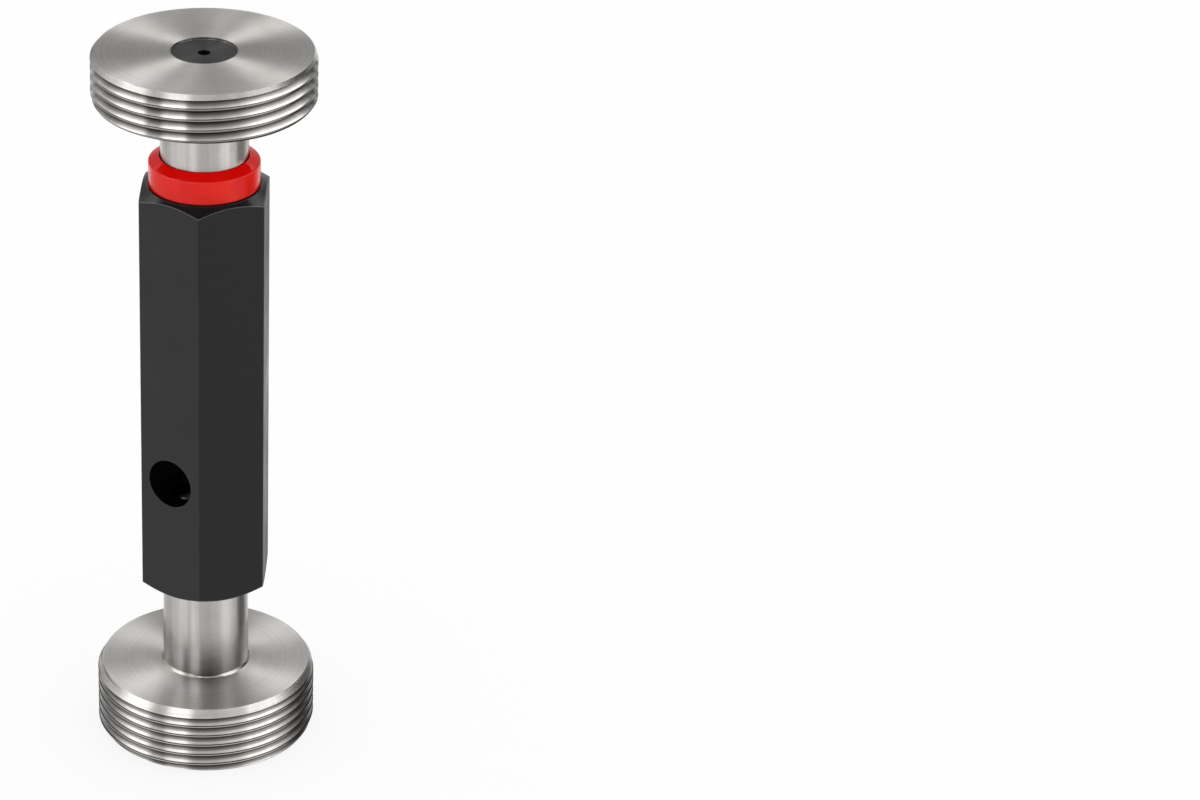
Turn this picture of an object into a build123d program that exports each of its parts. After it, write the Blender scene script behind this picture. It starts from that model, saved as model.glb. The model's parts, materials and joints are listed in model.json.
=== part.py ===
from build123d import *
from math import ceil, radians, sqrt, tan
import os

# Double-ended taper-lock thread plug gauge, standing on its GO end.
# Millimetres, +Z up along the axis, origin at the middle of the lower face.

# Metric thread, right-handed, the same pitch on both members
thread_diameter = 40.0
thread_pitch = 2.0
thread_angle = 60.0
chamfer_angle = 35.0       # lead chamfer, measured from the axis
face_margin = 0.1          # end faces stop this far outside the thread root

# GO member, full thread form
go_thread_length = 13.0
go_neck_length = 17.7
go_groove_height = 1.15    # middle of a groove above the disc's lower face, on the +X side

# NO-GO member, truncated crests and a larger pitch diameter
no_go_thread_length = 9.0
no_go_neck_length = 16.0
no_go_flank_height = 0.3   # crest above the pitch line
no_go_oversize = 0.2       # pitch diameter over the GO member's
no_go_groove_height = 1.8  # middle of a groove above the disc's lower face, on the +X side

# Recess in the outer faces, centre holes there and in the shank tips
recess_diameter = 11.7
recess_depth = 0.4
centre_mouth = 2.3
centre_pilot = 1.1
centre_depth = 2.2
centre_angle = 60.0

# Taper lock, one size for both ends of the handle
taper_diameter = 15.4      # at the handle's end faces
taper_ratio = 50.0
taper_clearance = 0.02     # radial
shank_chamfer = 0.6
neck_fillet = 0.3

# Handle
handle_length = 79.0
handle_across_flats = 22.0
handle_chamfer = 0.7       # end faces inside the flats
handle_chamfer_angle = 30.0
handle_edge_radius = 0.35
pilot_diameter = 8.0
pilot_clearance = 1.0      # taper bores past the tips of the shanks
drift_diameter = 9.1
drift_height = 23.7        # above the handle's lower end
drift_clearance = 0.1      # GO shank tip below the drift hole

# NO-GO marker ring, bevelled up towards the neck
ring_wall = 1.9
ring_height = 4.4          # at the outside
ring_bevel_angle = 28.0
ring_clearance = 0.2       # radial, round the neck
ring_edge_radius = 0.3

# Thread form, from the height of its sharp triangle
flank_slope = tan(radians(thread_angle / 2))
sharp_height = thread_pitch / 2 / flank_slope
root_depth = sharp_height / 4
groove_overshoot = sharp_height / 16
go_crest_radius = thread_diameter / 2
go_pitch_radius = go_crest_radius - sharp_height * 3 / 8
no_go_pitch_radius = go_pitch_radius + no_go_oversize / 2
no_go_crest_radius = no_go_pitch_radius + no_go_flank_height

# Heights along the axis
handle_bottom = go_thread_length + go_neck_length
handle_top = handle_bottom + handle_length
gauge_height = handle_top + no_go_neck_length + no_go_thread_length
shank_length = drift_height - drift_diameter / 2 - drift_clearance


def taper_radius(outside):
    # radius of the taper at a distance outside the handle's end face, negative inside
    return taper_diameter / 2 + outside / (2 * taper_ratio)


def member_outline(pitch_radius, crest_radius, thread_length, neck_length):
    # half section of a gauging member, heights measured from its outer face
    face_radius = pitch_radius - root_depth + face_margin
    chamfer = (crest_radius - face_radius) / tan(radians(chamfer_angle))
    cone = (centre_mouth - centre_pilot) / 2 / tan(radians(centre_angle / 2))
    tip = thread_length + neck_length + shank_length
    tip_radius = taper_radius(shank_chamfer - shank_length)
    return [
        (0, recess_depth + centre_depth),
        (centre_pilot / 2, recess_depth + centre_depth),
        (centre_pilot / 2, recess_depth + cone),
        (centre_mouth / 2, recess_depth),
        (recess_diameter / 2, recess_depth),
        (recess_diameter / 2, 0),
        (face_radius, 0),
        (crest_radius, chamfer),
        (crest_radius, thread_length - chamfer),
        (face_radius, thread_length),
        (taper_radius(neck_length), thread_length),
        (tip_radius, tip - shank_chamfer),
        (tip_radius - shank_chamfer, tip),
        (centre_mouth / 2, tip),
        (centre_pilot / 2, tip - cone),
        (centre_pilot / 2, tip - centre_depth),
        (0, tip - centre_depth),
    ]


def groove_turn(pitch_radius, crest_radius):
    # one turn of the thread groove: half the pitch wide on the pitch line, run out past the crest
    root_radius = pitch_radius - root_depth
    outer_radius = crest_radius + groove_overshoot
    root_half = thread_pitch / 4 - root_depth * flank_slope
    outer_half = thread_pitch / 4 + (outer_radius - pitch_radius) * flank_slope
    with BuildPart() as turn:
        with BuildLine() as lead:
            Helix(pitch=thread_pitch, height=thread_pitch, radius=pitch_radius)
        with BuildSketch(Plane.XZ):
            with BuildLine():
                Polyline(
                    (root_radius, -root_half),
                    (outer_radius, -outer_half),
                    (outer_radius, outer_half),
                    (root_radius, root_half),
                    close=True,
                )
            make_face()
        sweep(path=lead.wires()[0], is_frenet=True)
    return turn.part


def groove_places(first_groove, thread_length):
    # starts of the turns, from two below the disc's lower face to one above its upper face
    last_turn = ceil(thread_length / thread_pitch) + 1
    return [(0, 0, first_groove + turn * thread_pitch) for turn in range(-2, last_turn)]


go_groove = groove_turn(go_pitch_radius, go_crest_radius)

with BuildPart() as go_member:
    with BuildSketch(Plane.YZ):
        with BuildLine():
            outline = member_outline(go_pitch_radius, go_crest_radius, go_thread_length, go_neck_length)
            Polyline(outline, close=True)
        go_section = make_face()
        neck_foot = (taper_radius(go_neck_length), go_thread_length)
        fillet(go_section.vertices().sort_by_distance(neck_foot)[0], neck_fillet)
    revolve(axis=Axis.Z)
    with Locations(groove_places(go_groove_height, go_thread_length)):
        add(go_groove, mode=Mode.SUBTRACT)
go_member.part.label = "go_member"


no_go_groove = groove_turn(no_go_pitch_radius, no_go_crest_radius)
no_go_bottom = gauge_height - no_go_thread_length

with BuildPart() as no_go_member:
    with BuildSketch(Plane.YZ):
        with BuildLine():
            outline = member_outline(
                no_go_pitch_radius, no_go_crest_radius, no_go_thread_length, no_go_neck_length
            )
            Polyline([(radius, gauge_height - depth) for radius, depth in outline], close=True)
        no_go_section = make_face()
        neck_foot = (taper_radius(no_go_neck_length), no_go_bottom)
        fillet(no_go_section.vertices().sort_by_distance(neck_foot)[0], neck_fillet)
    revolve(axis=Axis.Z)
    with Locations(groove_places(no_go_bottom + no_go_groove_height, no_go_thread_length)):
        add(no_go_groove, mode=Mode.SUBTRACT)
no_go_member.part.label = "no_go_member"


corner_radius = handle_across_flats / sqrt(3)
end_radius = handle_across_flats / 2 - handle_chamfer
chamfer_drop = (corner_radius - end_radius) * tan(radians(handle_chamfer_angle))
lower_bore_end = handle_bottom + shank_length + pilot_clearance
upper_bore_end = handle_top - shank_length - pilot_clearance

with BuildPart() as handle:
    with BuildSketch(Plane.XY.offset(handle_bottom)):
        RegularPolygon(handle_across_flats / 2, 6, major_radius=False)
    extrude(amount=handle_length)
    fillet(handle.edges().filter_by(Axis.Z), handle_edge_radius)
    # the chamfers of the hexagon are one turned cone at each end
    with BuildSketch(Plane.XZ):
        with BuildLine():
            Polyline(
                (0, handle_bottom),
                (end_radius, handle_bottom),
                (corner_radius, handle_bottom + chamfer_drop),
                (corner_radius, handle_top - chamfer_drop),
                (end_radius, handle_top),
                (0, handle_top),
                close=True,
            )
        make_face()
    revolve(axis=Axis.Z, mode=Mode.INTERSECT)
    # taper bores from both ends, joined by the pilot bore
    with BuildSketch(Plane.XZ):
        with BuildLine():
            Polyline(
                (0, handle_bottom),
                (taper_radius(0) + taper_clearance, handle_bottom),
                (taper_radius(handle_bottom - lower_bore_end) + taper_clearance, lower_bore_end),
                (pilot_diameter / 2, lower_bore_end),
                (pilot_diameter / 2, upper_bore_end),
                (taper_radius(upper_bore_end - handle_top) + taper_clearance, upper_bore_end),
                (taper_radius(0) + taper_clearance, handle_top),
                (0, handle_top),
                close=True,
            )
        make_face()
    revolve(axis=Axis.Z, mode=Mode.SUBTRACT)
    # drift hole across the flats, over the tip of the GO shank
    with BuildSketch(Plane.XZ):
        with Locations((0, handle_bottom + drift_height)):
            Circle(drift_diameter / 2)
    extrude(amount=handle_across_flats / 2, both=True, mode=Mode.SUBTRACT)
handle.part.label = "handle"


# The bore clears the neck at the ring's upper edge, where the neck is widest inside it
bevel_rise = ring_wall * tan(radians(ring_bevel_angle))
bore_radius = taper_radius(ring_height + bevel_rise) + ring_clearance
ring_radius = bore_radius + ring_wall

with BuildPart() as no_go_ring:
    with BuildSketch(Plane.XZ):
        with BuildLine():
            Polyline(
                (bore_radius, handle_top),
                (ring_radius, handle_top),
                (ring_radius, handle_top + ring_height),
                (bore_radius, handle_top + ring_height + bevel_rise),
                close=True,
            )
        ring_section = make_face()
        fillet(ring_section.vertices().group_by(Axis.X)[-1], ring_edge_radius)
    revolve(axis=Axis.Z)
no_go_ring.part.label = "no_go_ring"


os.makedirs("parts", exist_ok=True)
export_step(go_member.part, "parts/go_member.step")
export_step(no_go_member.part, "parts/no_go_member.step")
export_step(handle.part, "parts/handle.step")
export_step(no_go_ring.part, "parts/no_go_ring.step")
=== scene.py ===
import bmesh
import bpy
import json
from math import cos, pi, radians, sin
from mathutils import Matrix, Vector


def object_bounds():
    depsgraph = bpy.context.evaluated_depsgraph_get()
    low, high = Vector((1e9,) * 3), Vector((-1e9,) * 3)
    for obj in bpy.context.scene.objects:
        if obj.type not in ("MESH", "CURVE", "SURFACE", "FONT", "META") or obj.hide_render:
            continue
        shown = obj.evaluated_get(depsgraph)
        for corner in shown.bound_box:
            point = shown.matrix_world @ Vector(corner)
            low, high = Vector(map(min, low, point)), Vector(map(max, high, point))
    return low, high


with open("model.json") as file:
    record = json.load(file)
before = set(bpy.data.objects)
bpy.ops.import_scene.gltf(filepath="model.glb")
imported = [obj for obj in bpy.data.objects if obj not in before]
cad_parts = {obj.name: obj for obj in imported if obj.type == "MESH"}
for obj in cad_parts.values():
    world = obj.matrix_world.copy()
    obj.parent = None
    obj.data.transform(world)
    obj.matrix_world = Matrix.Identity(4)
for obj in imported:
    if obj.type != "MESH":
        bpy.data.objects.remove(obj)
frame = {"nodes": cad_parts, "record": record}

for startupName in ("Cube", "Light", "Camera"):
    if startupName in bpy.data.objects:
        bpy.data.objects.remove(bpy.data.objects[startupName])

scene = bpy.context.scene
nodes = frame["nodes"]
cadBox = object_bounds()
gaugeTop = cadBox[1].z
print("frame loaded:", ", ".join(sorted(nodes)))

# lengths are metres, angles degrees
view = dict(
    azimuth=34.74,      # from -Y towards +X
    pitch=27.75,        # looking down
    distance=0.6699,    # level distance from the gauge's axis
    aside=0.0042,       # camera to the right of the axis
    height=0.4191,
    lens=126.33,
    sensor=36.0,
    shiftX=0.3096,
)

azimuth = radians(view["azimuth"])
pitch = radians(view["pitch"])
toFront = Vector((sin(azimuth), -cos(azimuth), 0))
toRight = Vector((cos(azimuth), sin(azimuth), 0))
upwards = Vector((0, 0, 1))

cameraData = bpy.data.cameras.new("camera")
cameraData.lens = view["lens"]
cameraData.sensor_width = view["sensor"]
cameraData.shift_x = view["shiftX"]
camera = bpy.data.objects.new("camera", cameraData)
camera.location = toFront * view["distance"] + toRight * view["aside"] + upwards * view["height"]
camera.rotation_euler = (pi / 2 - pitch, 0, azimuth)
scene.collection.objects.link(camera)
scene.camera = camera
print("camera set")

white = (1, 1, 1, 1)


def newMaterial(name):
    material = bpy.data.materials.new(name)
    material.use_nodes = True
    tree = material.node_tree
    return material, tree, tree.nodes["Principled BSDF"]


def plug(tree, value, socket):
    if isinstance(value, bpy.types.NodeSocket):
        tree.links.new(value, socket)
    else:
        socket.default_value = value


def addNode(tree, kind, settings=None, **inputs):
    # i0, i1 and so on are the node's inputs by number
    node = tree.nodes.new(kind)
    for key, value in (settings or {}).items():
        setattr(node, key, value)
    for key, value in inputs.items():
        plug(tree, value, node.inputs[int(key[1:])])
    return node


def mathNode(tree, operation, a, b=0.0):
    return addNode(tree, "ShaderNodeMath", dict(operation=operation), i0=a, i1=b).outputs[0]


def vectorNode(tree, operation, a, b=(0, 0, 0)):
    node = addNode(tree, "ShaderNodeVectorMath", dict(operation=operation), i0=a, i1=b)
    return node.outputs["Value" if operation in ("DOT_PRODUCT", "LENGTH") else "Vector"]


def product(tree, first, *others):
    for other in others:
        first = mathNode(tree, "MULTIPLY", first, other)
    return first


def above(tree, value, limit):
    return mathNode(tree, "GREATER_THAN", value, limit)


def below(tree, value, limit):
    return mathNode(tree, "LESS_THAN", value, limit)


def rest(tree, share):
    return mathNode(tree, "SUBTRACT", 1.0, share)


def spread(tree, value, low, high, toLow=0.0, toHigh=1.0):
    limits = dict(i1=low, i2=high, i3=toLow, i4=toHigh)
    return addNode(tree, "ShaderNodeMapRange", dict(clamp=True), i0=value, **limits).outputs[0]


def blend(tree, share, a, b):
    return spread(tree, share, 0.0, 1.0, a, b)


def mixColour(tree, share, a, b):
    return addNode(tree, "ShaderNodeMix", dict(data_type="RGBA"), i0=share, i6=a, i7=b).outputs[2]


def greyRamp(tree, value, stops):
    ramp = addNode(tree, "ShaderNodeValToRGB", i0=value)
    elements = ramp.color_ramp.elements
    while len(elements) < len(stops):
        elements.new(0.5)
    for element, (place, level) in zip(elements, stops):
        element.position = place
        element.color = (level, level, level, 1)
    return ramp.outputs[0]


def noise(tree, place, scale, detail):
    return addNode(tree, "ShaderNodeTexNoise", i0=place, i2=scale, i3=detail).outputs[0]


def lineNoise(tree, travel, scale, detail):
    settings = dict(noise_dimensions="1D")
    return addNode(tree, "ShaderNodeTexNoise", settings, i1=travel, i2=scale, i3=detail).outputs[0]


def objectPlace(tree):
    return addNode(tree, "ShaderNodeTexCoord").outputs["Object"]


def surfaceNormal(tree):
    normal = addNode(tree, "ShaderNodeNewGeometry").outputs["Normal"]
    return normal, addNode(tree, "ShaderNodeSeparateXYZ", i0=normal).outputs


def tilted(tree, outward, rise):
    return vectorNode(tree, "NORMALIZE", vectorNode(tree, "ADD", outward, (0, 0, rise)))


def addBump(tree, shader, relief, strength, depth):
    bump = addNode(tree, "ShaderNodeBump", i0=strength, i1=depth)
    plug(tree, relief, bump.inputs["Height"])
    plug(tree, bump.outputs[0], shader.inputs["Normal"])
    return bump


def mountNamed(name):
    return next(mount for mount in frame["record"]["mounts"] if mount["name"] == name)


# noises are given as scale and detail, limits as the values between which a share grows from 0 to 1
steel = dict(
    colour=(0.60, 0.585, 0.57, 1),
    stain=(0.52, 0.50, 0.475, 1),
    root=(0.024, 0.020, 0.018, 1),      # painted shade in the grooves of the threads
    shank=(0.10, 0.095, 0.09, 1),       # painted shade on the shank inside the handle
    footShade=(0.26, 0.24, 0.225, 1),        # painted shade, a dark reflection, round the foot of the neck
    recess=(0.040, 0.040, 0.041, 1),    # blackened
    # painted shade: the centre hole drawn black
    centreHoleShade=(0.004, 0.004, 0.004, 1),
    roughness=(0.15, 0.23),
    faceRoughness=0.21,                 # added on the flat faces
    recessRoughness=0.6,
    recessMetallic=0.25,
    threadRoughness=0.07,
    anisotropy=0.97,
    markTurn=0.25,                      # tool marks run round the axis
    faceLimits=(0.95, 0.99),            # slope of the normal on a flat face
    marks=(9000.0, 4.0),
    markLimits=(0.3, 0.7),
    markStrength=0.08,
    markDepth=0.00002,
    rings=(2600.0, 2.0),
    ringShares=(0.12, 0.5),             # on the round sides and on the flat faces
    streaks=(1100.0, 3.0),
    streakStretch=(1, 1, 0.03),
    streakShares=(0.5, 0.0),
    clouds=(160.0, 5.0),
    cloudShare=0.7,
    stainLimits=(0.24, 0.50),
    recessRadius=0.00579,               # just inside its wall
    centreRadius=0.00115,
    centreFrom=0.00045,                 # just below the floor of the recess
    centreTo=0.005,
    chamferSlope=0.7,
    pitch=0.002,
    runOut=0.0006,                      # depth of groove that still counts as bevel
    threadFrom=0.97,                    # share of the rim's radius
    faceSkin=0.00003,                   # allowances for the facets of the mesh
    bevelSkin=0.00002,
    hollowLimits=(-0.8, -0.7),          # undersides keep their own normal
    neckRadius=0.0078,
    footLimits=(0.0007, 0.0005),        # fillet of the neck
    footShadeSide=(0.57, -0.82, 0),          # side of the neck with the deepest painted shade
    footShadeWidth=(0.89, 0.99),             # cosine of the angle from that side
    footShadeLimits=(0.0046, 0.0004),
    footShadeShares=(0.2, 0.75),
    footShadeClouds=(0.3, 0.6, 0.4, 1.0),    # patchy: from and to
)
# painted shade across one turn of a thread, from the upper corner of its root: root, flank, dark edge,
# crest; 0 is the painted shade, 1 bare steel
goThread = dict(
    mount="go_thread",
    outerFace=0.0,
    inward=1,                           # upwards, from the outer face into the gauge
    rim=0.019017,                       # radius of the flat faces
    neck=0.0177,                        # length of the neck
    groove=0.00115,                     # middle of a groove on the +X side
    rise=0.50,                          # slope of the rounded hollow
    crest=(0.57, 0.67),
    threadShading=[
        (0.0, 0.0), (0.10, 0.04), (0.18, 0.12), (0.25, 0.21), (0.30, 0.31), (0.345, 0.48),
        (0.39, 0.9), (0.42, 1.0), (0.50, 1.0), (0.515, 0.03), (0.56, 0.03), (0.575, 1.0),
        (0.65, 1.0), (0.665, 0.0), (1.0, 0.0),
    ],
)
noGoThread = dict(
    mount="no_go_thread",
    outerFace=gaugeTop,
    inward=-1,
    rim=0.019117,
    neck=0.0160,
    groove=gaugeTop - 0.0072,
    rise=0.20,
    crest=(0.59, 0.72),
    threadShading=[
        (0.0, 0.02), (0.10, 0.09), (0.20, 0.18), (0.28, 0.32), (0.336, 0.50), (0.394, 0.80),
        (0.44, 1.0), (0.49, 1.0), (0.51, 0.08), (0.575, 0.08), (0.595, 0.64), (0.70, 0.64),
        (0.725, 0.0), (1.0, 0.0),
    ],
)


def turnedSteel(name, thread):
    material, tree, shader = newMaterial(name)
    mount = mountNamed(thread["mount"])
    crestRadius = mount["dims"]["r_mm"] / 1000
    thickness = mount["dims"]["length_mm"] / 1000
    place = objectPlace(tree)
    axes = addNode(tree, "ShaderNodeSeparateXYZ", i0=place).outputs
    height = axes[2]
    fromAxis = vectorNode(tree, "MULTIPLY", place, (1, 1, 0))
    radius = vectorNode(tree, "LENGTH", fromAxis)
    outward = vectorNode(tree, "NORMALIZE", fromAxis)
    normal, facing = surfaceNormal(tree)
    onFace = spread(tree, mathNode(tree, "ABSOLUTE", facing[2]), *steel["faceLimits"])

    # tool marks by one running coordinate, across the faces and along the axis
    travel = mathNode(tree, "ADD", radius, height)
    marks = lineNoise(tree, travel, *steel["marks"])
    rings = lineNoise(tree, travel, *steel["rings"])
    clouds = noise(tree, place, *steel["clouds"])
    # fine lengthwise streaks on the necks
    drawn = addNode(tree, "ShaderNodeMapping", i0=place, i3=steel["streakStretch"]).outputs[0]
    streaks = noise(tree, drawn, *steel["streaks"])
    tone = product(tree, clouds, steel["cloudShare"])
    for pattern, shares in ((rings, steel["ringShares"]), (streaks, steel["streakShares"])):
        swing = mathNode(tree, "SUBTRACT", pattern, 0.5)
        tone = mathNode(tree, "ADD", tone, product(tree, swing, blend(tree, onFace, *shares)))
    stained = spread(tree, tone, *steel["stainLimits"])
    colour = mixColour(tree, stained, steel["colour"], steel["stain"])

    # depth under the chamfers and crests of the threaded disc
    fromOuter = mathNode(tree, "SUBTRACT", height, thread["outerFace"])
    fromOuter = product(tree, fromOuter, thread["inward"])
    fromInner = mathNode(tree, "SUBTRACT", thickness, fromOuter)
    fromFace = mathNode(tree, "MINIMUM", fromOuter, fromInner)
    cone = mathNode(tree, "ADD", product(tree, fromFace, steel["chamferSlope"]), thread["rim"])
    depth = mathNode(tree, "SUBTRACT", mathNode(tree, "MINIMUM", cone, crestRadius), radius)
    # the bevel above the thread stays bare, with the shallow run-out of the groove in it
    fromTop = fromInner if thread["inward"] > 0 else fromOuter
    inBevel = below(tree, fromTop, (crestRadius - thread["rim"]) / steel["chamferSlope"])
    onBevel = product(tree, inBevel, below(tree, depth, steel["runOut"]))
    inDisc = above(tree, fromFace, steel["faceSkin"])
    inRim = above(tree, radius, thread["rim"] * steel["threadFrom"])
    inThread = product(tree, inDisc, inRim, rest(tree, onBevel))

    # place across the turn of the thread, following its helix
    turn = mathNode(tree, "DIVIDE", mathNode(tree, "ARCTAN2", axes[1], axes[0]), 2 * pi)
    rootCorner = thread["groove"] + steel["pitch"] / 8
    along = mathNode(tree, "SUBTRACT", rootCorner, height)
    along = mathNode(tree, "DIVIDE", along, steel["pitch"])
    along = mathNode(tree, "FRACT", mathNode(tree, "ADD", along, turn))
    crestFrom, crestTo = thread["crest"]
    onCrest = product(tree, above(tree, along, crestFrom), below(tree, along, crestTo))
    # painted shade along the helix: dark in the root and in a thin line between flank and crest
    threadShading = greyRamp(tree, along, thread["threadShading"])
    colour = mixColour(tree, inThread, colour, mixColour(tree, threadShading, steel["root"], colour))

    # painted shade round the foot of the neck on one side, and painted shade on the shank inside the
    # handle
    fromNeck = mathNode(tree, "SUBTRACT", radius, steel["neckRadius"])
    fromNeck = mathNode(tree, "ABSOLUTE", fromNeck)
    fromFoot = mathNode(tree, "ADD", mathNode(tree, "ABSOLUTE", fromInner), fromNeck)
    towardFootShade = vectorNode(tree, "DOT_PRODUCT", outward, steel["footShadeSide"])
    towardFootShade = spread(tree, towardFootShade, *steel["footShadeWidth"])
    footShade = product(
        tree,
        spread(tree, fromFoot, *steel["footShadeLimits"]),
        blend(tree, towardFootShade, *steel["footShadeShares"]),
        spread(tree, clouds, *steel["footShadeClouds"]),
    )
    colour = mixColour(tree, footShade, colour, steel["footShade"])
    # painted shade on the part of the shank inside the handle
    inHandle = above(tree, fromOuter, thickness + thread["neck"])
    colour = mixColour(tree, inHandle, colour, steel["shank"])

    # darker recess in the outer face; its centre hole painted black as shade
    nearFace = below(tree, fromOuter, steel["centreTo"])
    inRecess = product(tree, below(tree, radius, steel["recessRadius"]), nearFace)
    colour = mixColour(tree, inRecess, colour, steel["recess"])
    inHole = product(
        tree,
        above(tree, fromOuter, steel["centreFrom"]),
        below(tree, radius, steel["centreRadius"]),
        nearFace,
    )
    colour = mixColour(tree, inHole, colour, steel["centreHoleShade"])
    plug(tree, colour, shader.inputs["Base Color"])
    blackened = mathNode(tree, "SUBTRACT", inRecess, inHole)
    plug(tree, blend(tree, blackened, 1.0, steel["recessMetallic"]), shader.inputs["Metallic"])

    rough = spread(tree, marks, *steel["markLimits"], *steel["roughness"])
    rough = mathNode(tree, "ADD", rough, product(tree, onFace, steel["faceRoughness"]))
    recessRough = product(tree, inRecess, steel["recessRoughness"])
    rough = mathNode(tree, "MAXIMUM", rough, recessRough)
    rough = blend(tree, inThread, rough, steel["threadRoughness"])
    plug(tree, rough, shader.inputs["Roughness"])

    # lapping has rounded the roots and upper flanks into one hollow
    hollow = tilted(tree, outward, thread["rise"])
    inHollow = product(tree, inThread, spread(tree, facing[2], *steel["hollowLimits"]))
    rounded = mixColour(tree, inHollow, normal, mixColour(tree, onCrest, hollow, outward))
    # the run-out of the groove and the fillet of the neck catch the light as the bevel does
    bevel = tilted(tree, outward, steel["chamferSlope"])
    onRunOut = product(tree, onBevel, above(tree, depth, steel["bevelSkin"]), inDisc)
    rounded = mixColour(tree, onRunOut, rounded, bevel)
    inFoot = spread(tree, fromFoot, *steel["footLimits"])
    inFoot = product(tree, inFoot, rest(tree, onFace), rest(tree, towardFootShade))
    rounded = mixColour(tree, inFoot, rounded, bevel)
    bump = addBump(tree, shader, marks, steel["markStrength"], steel["markDepth"])
    plug(tree, rounded, bump.inputs["Normal"])

    shader.inputs["Anisotropic"].default_value = steel["anisotropy"]
    shader.inputs["Anisotropic Rotation"].default_value = steel["markTurn"]
    tangent = addNode(tree, "ShaderNodeTangent", dict(direction_type="RADIAL", axis="Z"))
    plug(tree, tangent.outputs[0], shader.inputs["Tangent"])
    return material


anodised = dict(
    colour=(0.0100, 0.0100, 0.0102, 1),
    worn=(0.0140, 0.0140, 0.0142, 1),
    shadedSide=(0.0018, 0.0018, 0.0019, 1),       # painted shade on the faces towards +X
    chamfer=(0.010, 0.010, 0.0105, 1),          # turned ends
    edge=(0.22, 0.22, 0.225, 1),                # painted highlight on the edges
    hole=(0.0015, 0.0015, 0.0015, 1),
    roughness=(0.30, 0.42),
    chamferRoughness=0.22,
    specular=0.32,
    clouds=(90.0, 6.0),
    wornLimits=(0.4, 0.7),
    roughLimits=(0.3, 0.7),
    grain=(5200.0, 3.0),
    grainStrength=0.12,
    grainDepth=0.00002,
    sideLimits=(0.3, 0.7),
    chamferLimits=(0.25, 0.5),
    edgeRadius=0.0003,
    edgeSamples=6,
    edgeLimits=(0.995, 0.90),                   # cosine of the turn at an edge
    edgeClouds=(0.3, 0.6, 0.35, 1.0),           # patchy: from and to
    holeRadius=0.00465,
)


def blackAnodised(name):
    material, tree, shader = newMaterial(name)
    place = objectPlace(tree)
    normal, facing = surfaceNormal(tree)
    clouds = noise(tree, place, *anodised["clouds"])
    worn = spread(tree, clouds, *anodised["wornLimits"])
    colour = mixColour(tree, worn, anodised["colour"], anodised["worn"])
    # painted shade on the faces towards +X
    onShadedSide = spread(tree, facing[0], *anodised["sideLimits"])
    colour = mixColour(tree, onShadedSide, colour, anodised["shadedSide"])
    onChamfer = spread(tree, facing[2], *anodised["chamferLimits"])
    colour = mixColour(tree, onChamfer, colour, anodised["chamfer"])

    # painted highlight along the edges, patchy
    samples = dict(samples=anodised["edgeSamples"])
    softNormal = addNode(tree, "ShaderNodeBevel", samples, i0=anodised["edgeRadius"]).outputs[0]
    turned = vectorNode(tree, "DOT_PRODUCT", softNormal, normal)
    edgeGlint = product(
        tree,
        spread(tree, turned, *anodised["edgeLimits"]),
        spread(tree, clouds, *anodised["edgeClouds"]),
    )
    colour = mixColour(tree, edgeGlint, colour, anodised["edge"])

    # painted shade on the wall of the drift hole
    toHole = vectorNode(tree, "SUBTRACT", place, mountNamed("drift_hole")["pos_m"])
    fromHole = vectorNode(tree, "LENGTH", vectorNode(tree, "MULTIPLY", toHole, (1, 0, 1)))
    inHole = below(tree, fromHole, anodised["holeRadius"])
    colour = mixColour(tree, inHole, colour, anodised["hole"])
    plug(tree, colour, shader.inputs["Base Color"])

    rough = spread(tree, clouds, *anodised["roughLimits"], *anodised["roughness"])
    rough = blend(tree, onChamfer, rough, anodised["chamferRoughness"])
    plug(tree, rough, shader.inputs["Roughness"])
    grain = noise(tree, place, *anodised["grain"])
    addBump(tree, shader, grain, anodised["grainStrength"], anodised["grainDepth"])
    shader.inputs["Specular IOR Level"].default_value = anodised["specular"]
    return material


redPlastic = dict(
    colour=(0.80, 0.012, 0.004, 1),
    deep=(0.72, 0.006, 0.002, 1),
    bevel=(0.96, 0.0025, 0.0008, 1),            # painted light: lighter than the outside
    roughness=(0.10, 0.18),
    specular=0.3,
    clouds=(220.0, 4.0),
    deepLimits=(0.4, 0.65),
    roughLimits=(0.3, 0.7),
    bevelLimits=(0.5, 0.8),
    ripple=(600.0, 2.0),
    rippleStrength=0.04,
    rippleDepth=0.00005,
)


def glossRed(name):
    material, tree, shader = newMaterial(name)
    place = objectPlace(tree)
    facing = surfaceNormal(tree)[1]
    clouds = noise(tree, place, *redPlastic["clouds"])
    deep = spread(tree, clouds, *redPlastic["deepLimits"])
    colour = mixColour(tree, deep, redPlastic["colour"], redPlastic["deep"])
    # painted light on the upward bevel, lighter against the shade of the disc above
    onBevel = spread(tree, facing[2], *redPlastic["bevelLimits"])
    colour = mixColour(tree, onBevel, colour, redPlastic["bevel"])
    plug(tree, colour, shader.inputs["Base Color"])
    rough = spread(tree, clouds, *redPlastic["roughLimits"], *redPlastic["roughness"])
    plug(tree, rough, shader.inputs["Roughness"])
    ripple = noise(tree, place, *redPlastic["ripple"])
    addBump(tree, shader, ripple, redPlastic["rippleStrength"], redPlastic["rippleDepth"])
    shader.inputs["Specular IOR Level"].default_value = redPlastic["specular"]
    return material


def dress(node, material):
    for slot in nodes[node].material_slots:
        slot.material = material


dress("go_member", turnedSteel("goSteel", goThread))
dress("no_go_member", turnedSteel("noGoSteel", noGoThread))
dress("handle", blackAnodised("blackAnodised"))
dress("no_go_ring", glossRed("glossRed"))
print("materials set")


paper = dict(
    size=3.0,
    colour=(0.96, 0.96, 0.96, 1),
    roughness=0.9,
    glow=0.85,          # share of plain white seen by the camera
)

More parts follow.
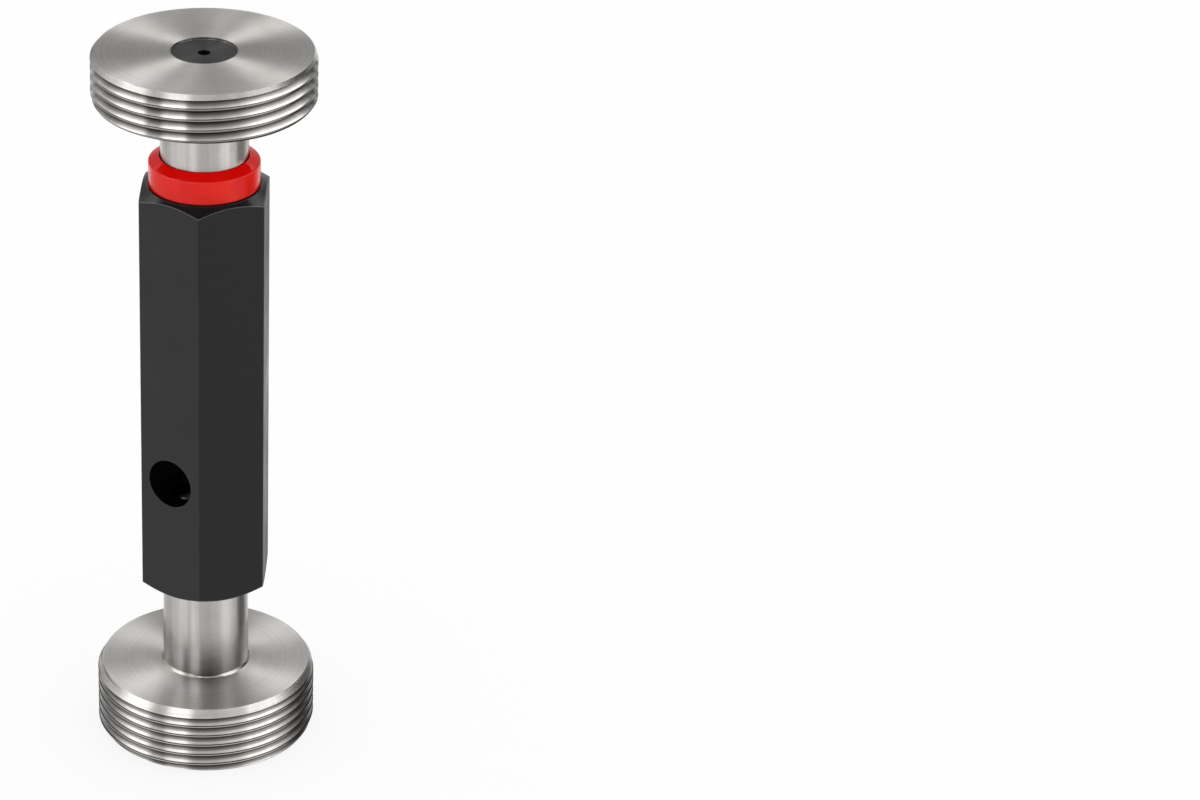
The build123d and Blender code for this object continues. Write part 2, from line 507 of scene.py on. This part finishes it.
floorShape = bmesh.new()
bmesh.ops.create_grid(floorShape, x_segments=1, y_segments=1, size=paper["size"])
floorMesh = bpy.data.meshes.new("floor")
floorShape.to_mesh(floorMesh)
floorShape.free()
floor = bpy.data.objects.new("floor", floorMesh)
scene.collection.objects.link(floor)
paperMaterial, paperTree, paperShader = newMaterial("paper")
paperShader.inputs["Base Color"].default_value = paper["colour"]
paperShader.inputs["Roughness"].default_value = paper["roughness"]
paperShader.inputs["Specular IOR Level"].default_value = 0.0
cameraRay = addNode(paperTree, "ShaderNodeLightPath").outputs["Is Camera Ray"]
glowing = addNode(paperTree, "ShaderNodeEmission", i0=white, i1=1.0).outputs[0]
glowShare = product(paperTree, cameraRay, paper["glow"])
paperMix = addNode(paperTree, "ShaderNodeMixShader", i0=glowShare, i1=paperShader.outputs[0], i2=glowing)
plug(paperTree, paperMix.outputs[0], paperTree.nodes["Material Output"].inputs["Surface"])
floorMesh.materials.append(paperMaterial)
floor.visible_glossy = False
print("floor laid")

# studio light in rows of strips, as angle and level, fixed in space
# each row is named for the slope of the steel on which it shows from the front
studio = dict(
    upright=[
        (-180, 0.9), (-90, 1.6), (-80, 1.2), (-72, 0.70), (-60, 0.62), (-40, 0.78), (-27, 1.0),
        (-23, 0.80), (-16, 0.95), (-9, 0.72), (4, 0.68), (20, 0.80), (25, 0.97), (31, 0.97),
        (36, 0.78), (46, 0.50), (50, 0.10), (57, 0.03), (62, 0.12), (68, 0.50), (78, 0.95),
        (90, 1.3), (180, 0.9),
    ],
    # hollows of the NO-GO thread
    leaning=[
        (-180, 0.6), (-90, 0.6), (-72, 0.78), (-60, 0.85), (-53, 1.3), (-47, 2.3), (-34, 2.6),
        (-30, 0.85), (-24, 0.8), (-20, 2.2), (-11, 2.7), (-8, 0.9), (-5, 0.68), (6, 0.72),
        (18, 1.15), (24, 1.9), (32, 2.6), (46, 2.4), (58, 1.9), (64, 0.9), (70, 0.45),
        (90, 0.42), (180, 0.6),
    ],
    # hollows of the GO thread
    facing=[
        (-180, 0.6), (-90, 1.0), (-84, 0.8), (-76, 0.3), (-66, 0.25), (-58, 0.4), (-53, 0.65),
        (-47, 1.3), (-42, 2.0), (-34, 2.0), (-30, 0.9), (-24, 0.72), (-20, 1.6), (-12, 1.9),
        (-8, 0.9), (-5, 0.68), (6, 0.74), (18, 1.1), (24, 1.8), (36, 2.0), (42, 1.3), (48, 0.7),
        (54, 0.30), (60, 0.10), (70, 0.05), (78, 0.2), (86, 0.7), (180, 0.6),
    ],
    # bevel of the GO disc
    sloped=[
        (-180, 0.6), (-90, 0.5), (-75, 0.68), (-62, 0.9), (-52, 1.15), (-46, 2.1), (-33, 2.3),
        (-30, 1.4), (-27, 0.75), (-22, 0.95), (-18, 2.2), (-9, 2.2), (-6, 0.85), (2, 0.74),
        (12, 0.88), (20, 1.15), (25, 2.2), (40, 2.3), (46, 1.3), (52, 0.6), (58, 0.26), (64, 0.14),
        (76, 0.14), (84, 0.25), (90, 0.36), (180, 0.6),
    ],
    # bevel of the NO-GO disc
    steep=[
        (-180, 0.5), (-90, 0.35), (-80, 0.42), (-70, 0.58), (-60, 0.87), (-50, 1.1), (-46, 1.3),
        (-35, 1.4), (-31, 1.0), (-26, 0.68), (-22, 0.8), (-18, 1.3), (-9, 1.3), (-6, 0.9), (0, 0.8),
        (8, 0.6), (15, 0.7), (20, 0.45), (25, 0.4), (35, 0.45), (40, 0.3), (46, 0.1), (52, 0.04),
        (60, 0.05), (66, 0.14), (72, 0.3), (80, 0.36), (90, 0.9), (180, 0.5),
    ],
    # flat faces
    level=[
        (-180, 0.46), (-150, 0.48), (-134, 0.60), (-122, 0.48), (-110, 0.40), (-92, 0.28), (-80, 0.34),
        (-70, 0.5), (-63, 1.3), (-57, 2.5), (-48, 2.6), (-42, 1.2), (-35, 0.42), (0, 0.42), (35, 0.44),
        (42, 1.4), (48, 3.0), (57, 3.2), (64, 1.6), (71, 0.5), (80, 0.40), (92, 0.32), (112, 0.40),
        (122, 0.48), (134, 0.60), (150, 0.48), (180, 0.46),
    ],
    # slopes between which each row takes over from the one before it
    takeOver=dict(
        leaning=(0.12, 0.18),
        facing=(0.32, 0.37),
        sloped=(0.47, 0.52),
        steep=(0.575, 0.60),
        level=(0.84, 0.89),
    ),
    below=(0.10, 0.09, 0.082, 1),
    belowLimits=(-0.35, -0.10),
    again=0.55,                 # second reflections: their square times this, for more contrast
    againLimits=(1.2, 1.8),
    ambient=(1.0, 1.0, 1.0, 1),
)

world = bpy.data.worlds.new("studio")
world.use_nodes = True
world.cycles.sampling_method = "NONE"
scene.world = world
sky = world.node_tree
# half way between each direction and the front, fixed: the normal on which that light shows
front = toFront * cos(pitch) + upwards * sin(pitch)
direction = addNode(sky, "ShaderNodeTexCoord").outputs["Generated"]
half = vectorNode(sky, "NORMALIZE", vectorNode(sky, "ADD", direction, front))
across = vectorNode(sky, "DOT_PRODUCT", half, toRight)
towards = vectorNode(sky, "DOT_PRODUCT", half, toFront)
side = spread(sky, mathNode(sky, "ARCTAN2", across, towards), -pi, pi)
slope = addNode(sky, "ShaderNodeSeparateXYZ", i0=half).outputs[2]


def stripRamp(strips):
    brightest = max(level for angle, level in strips)
    stops = [((angle + 180) / 360, level / brightest) for angle, level in strips]
    return vectorNode(sky, "MULTIPLY", greyRamp(sky, side, stops), (brightest,) * 3)


shown = stripRamp(studio["upright"])
for row, slopes in studio["takeOver"].items():
    shown = mixColour(sky, spread(sky, slope, *slopes), shown, stripRamp(studio[row]))
shown = mixColour(sky, spread(sky, slope, *studio["belowLimits"]), studio["below"], shown)
path = addNode(sky, "ShaderNodeLightPath").outputs
again = vectorNode(sky, "MULTIPLY", shown, shown)
again = vectorNode(sky, "MULTIPLY", again, (studio["again"],) * 3)
isAgain = spread(sky, path["Glossy Depth"], *studio["againLimits"])
shown = mixColour(sky, isAgain, shown, again)
seen = mixColour(sky, path["Is Glossy Ray"], studio["ambient"], shown)
seen = mixColour(sky, path["Is Camera Ray"], seen, white)
plug(sky, seen, sky.nodes["Background"].inputs["Color"])
print("studio set")

scene.view_settings.view_transform = "Standard"
